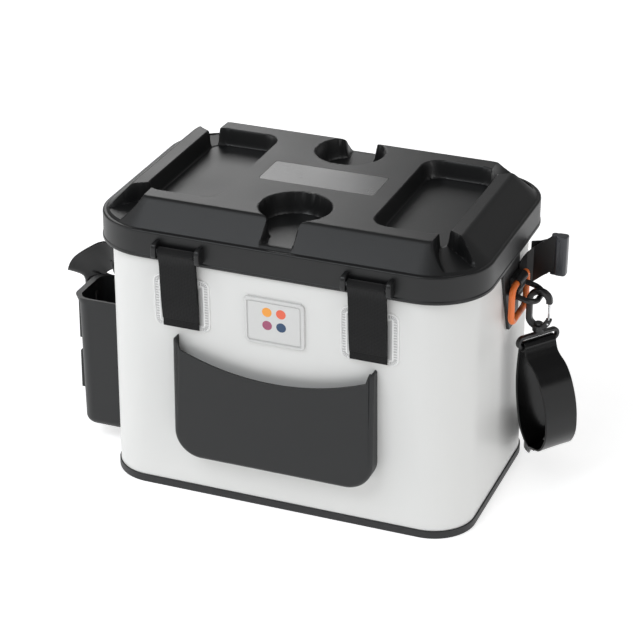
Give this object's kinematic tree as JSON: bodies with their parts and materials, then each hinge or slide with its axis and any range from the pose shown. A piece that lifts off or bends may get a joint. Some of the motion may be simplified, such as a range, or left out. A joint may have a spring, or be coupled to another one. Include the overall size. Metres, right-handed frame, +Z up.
{
  "type": "fishing bag",
  "caption": "Rectangular moulded fishing bag: hinged lid with trays and cup wells, front pouch, side holder, snap-hooked shoulder strap, side rings and a belt.",
  "frame": {"origin": "middle of the rubber foot, on the ground", "axes": "X is the width with the holder on -X and the side belt on +X, -Y is the front, +Z is up"},
  "size_m": [0.5551, 0.3166, 0.312],
  "materials": {
    "foam_shell": "satin",
    "foot_rubber": "matte",
    "foam_liner": "matte",
    "frame_plastic": "satin",
    "lid_plastic": "satin",
    "plate_plastic": "gloss",
    "steel": "brushed",
    "webbing": "woven",
    "patch_film": "gloss",
    "badge_rubber": "matte",
    "pouch_rubber": "satin",
    "strap_skin": "gloss",
    "tab_rubber": "matte",
    "ring_plastic": "gloss"
  },
  "bodies": {
    "bag": {"body_wall": "foam_shell", "foot_cup": "foot_rubber", "floor_panel": "foam_liner", "rim_frame": "frame_plastic", "hinge_webbing_left": "webbing", "hinge_webbing_right": "webbing", "front_patch_left": "patch_film", "front_patch_right": "patch_film", "rear_patch_left": "patch_film", "rear_patch_right": "patch_film", "front_hook_pads": "webbing", "rear_backing_pads": "webbing", "badge": "badge_rubber", "front_pouch": "pouch_rubber", "side_holder": "pouch_rubber", "shoulder_strap": "strap_skin", "strap_slider": "frame_plastic", "side_belt": "webbing", "side_tab_right": "tab_rubber", "ring_keeper_right": "webbing", "swivel_slide_right": "frame_plastic", "side_tab_left": "tab_rubber", "ring_keeper_left": "webbing", "swivel_slide_left": "frame_plastic"},
    "lid": {"lid_shell": "lid_plastic", "lid_plate": "plate_plastic", "lid_liner": "foam_liner", "front_strap_bars": "steel", "rear_hinge_bars": "steel"},
    "front_strap_left": {"front_strap_left": "webbing"},
    "front_strap_right": {"front_strap_right": "webbing"},
    "belt_buckle": {"belt_buckle": "frame_plastic"},
    "ring_right": {"side_ring_right": "ring_plastic"},
    "hoop_right": {"strap_hoop_right": "frame_plastic"},
    "hook_right": {"snap_hook_right": "frame_plastic", "gate_pin_right": "steel"},
    "gate_right": {"hook_gate_right": "steel"},
    "ring_left": {"side_ring_left": "ring_plastic"},
    "hoop_left": {"strap_hoop_left": "frame_plastic"},
    "hook_left": {"snap_hook_left": "frame_plastic", "gate_pin_left": "steel"},
    "gate_left": {"hook_gate_left": "steel"}
  },
  "joints": [
    {"name": "lid_hinge", "type": "hinge", "parent": "bag", "child": "lid", "pos_m": [0, 0.1405, 0.273], "axis": [-1, 0, 0], "range_deg": [0, 120]},
    {"name": "front_strap_left_swing", "type": "hinge", "parent": "lid", "child": "front_strap_left", "pos_m": [-0.0965, -0.1405, 0.273], "axis": [-1, 0, 0], "range_deg": [0, 120]},
    {"name": "front_strap_right_swing", "type": "hinge", "parent": "lid", "child": "front_strap_right", "pos_m": [0.0965, -0.1405, 0.273], "axis": [-1, 0, 0], "range_deg": [0, 120]},
    {"name": "ring_right_swing", "type": "hinge", "parent": "bag", "child": "ring_right", "pos_m": [0.19859, 0.02, 0.2285], "axis": [0, -1, 0], "range_deg": [-2, 5]},
    {"name": "hoop_right_swing", "type": "hinge", "parent": "bag", "child": "hoop_right", "pos_m": [0.19659, 0.02, 0.219], "axis": [0, 1, 0], "range_deg": [0, 12]},
    {"name": "hook_right_swivel", "type": "hinge", "parent": "bag", "child": "hook_right", "pos_m": [0.21977, 0.02, 0.17784], "axis": [0, 0, 1], "range_deg": [-15, 15]},
    {"name": "gate_right_hinge", "type": "hinge", "parent": "hook_right", "child": "gate_right", "pos_m": [0.22977, 0.02, 0.18584], "axis": [0, -1, 0], "range_deg": [0, 25], "stiffness_Nm_per_rad": 0.01, "springref_deg": -11.46},
    {"name": "ring_left_swing", "type": "hinge", "parent": "bag", "child": "ring_left", "pos_m": [-0.19859, 0.02, 0.2285], "axis": [0, 1, 0], "range_deg": [-2, 5]},
    {"name": "hoop_left_swing", "type": "hinge", "parent": "bag", "child": "hoop_left", "pos_m": [-0.19659, 0.02, 0.219], "axis": [0, -1, 0], "range_deg": [0, 12]},
    {"name": "hook_left_swivel", "type": "hinge", "parent": "bag", "child": "hook_left", "pos_m": [-0.21977, 0.02, 0.17784], "axis": [0, 0, 1], "range_deg": [-15, 15]},
    {"name": "gate_left_hinge", "type": "hinge", "parent": "hook_left", "child": "gate_left", "pos_m": [-0.22977, 0.02, 0.18584], "axis": [0, 1, 0], "range_deg": [0, 25], "stiffness_Nm_per_rad": 0.01, "springref_deg": -11.46},
    {"name": "buckle_swivel", "type": "hinge", "parent": "bag", "child": "belt_buckle", "pos_m": [0.223, 0.059, 0.243], "axis": [0, 0, 1], "range_deg": [-15, 15]}
  ]
}
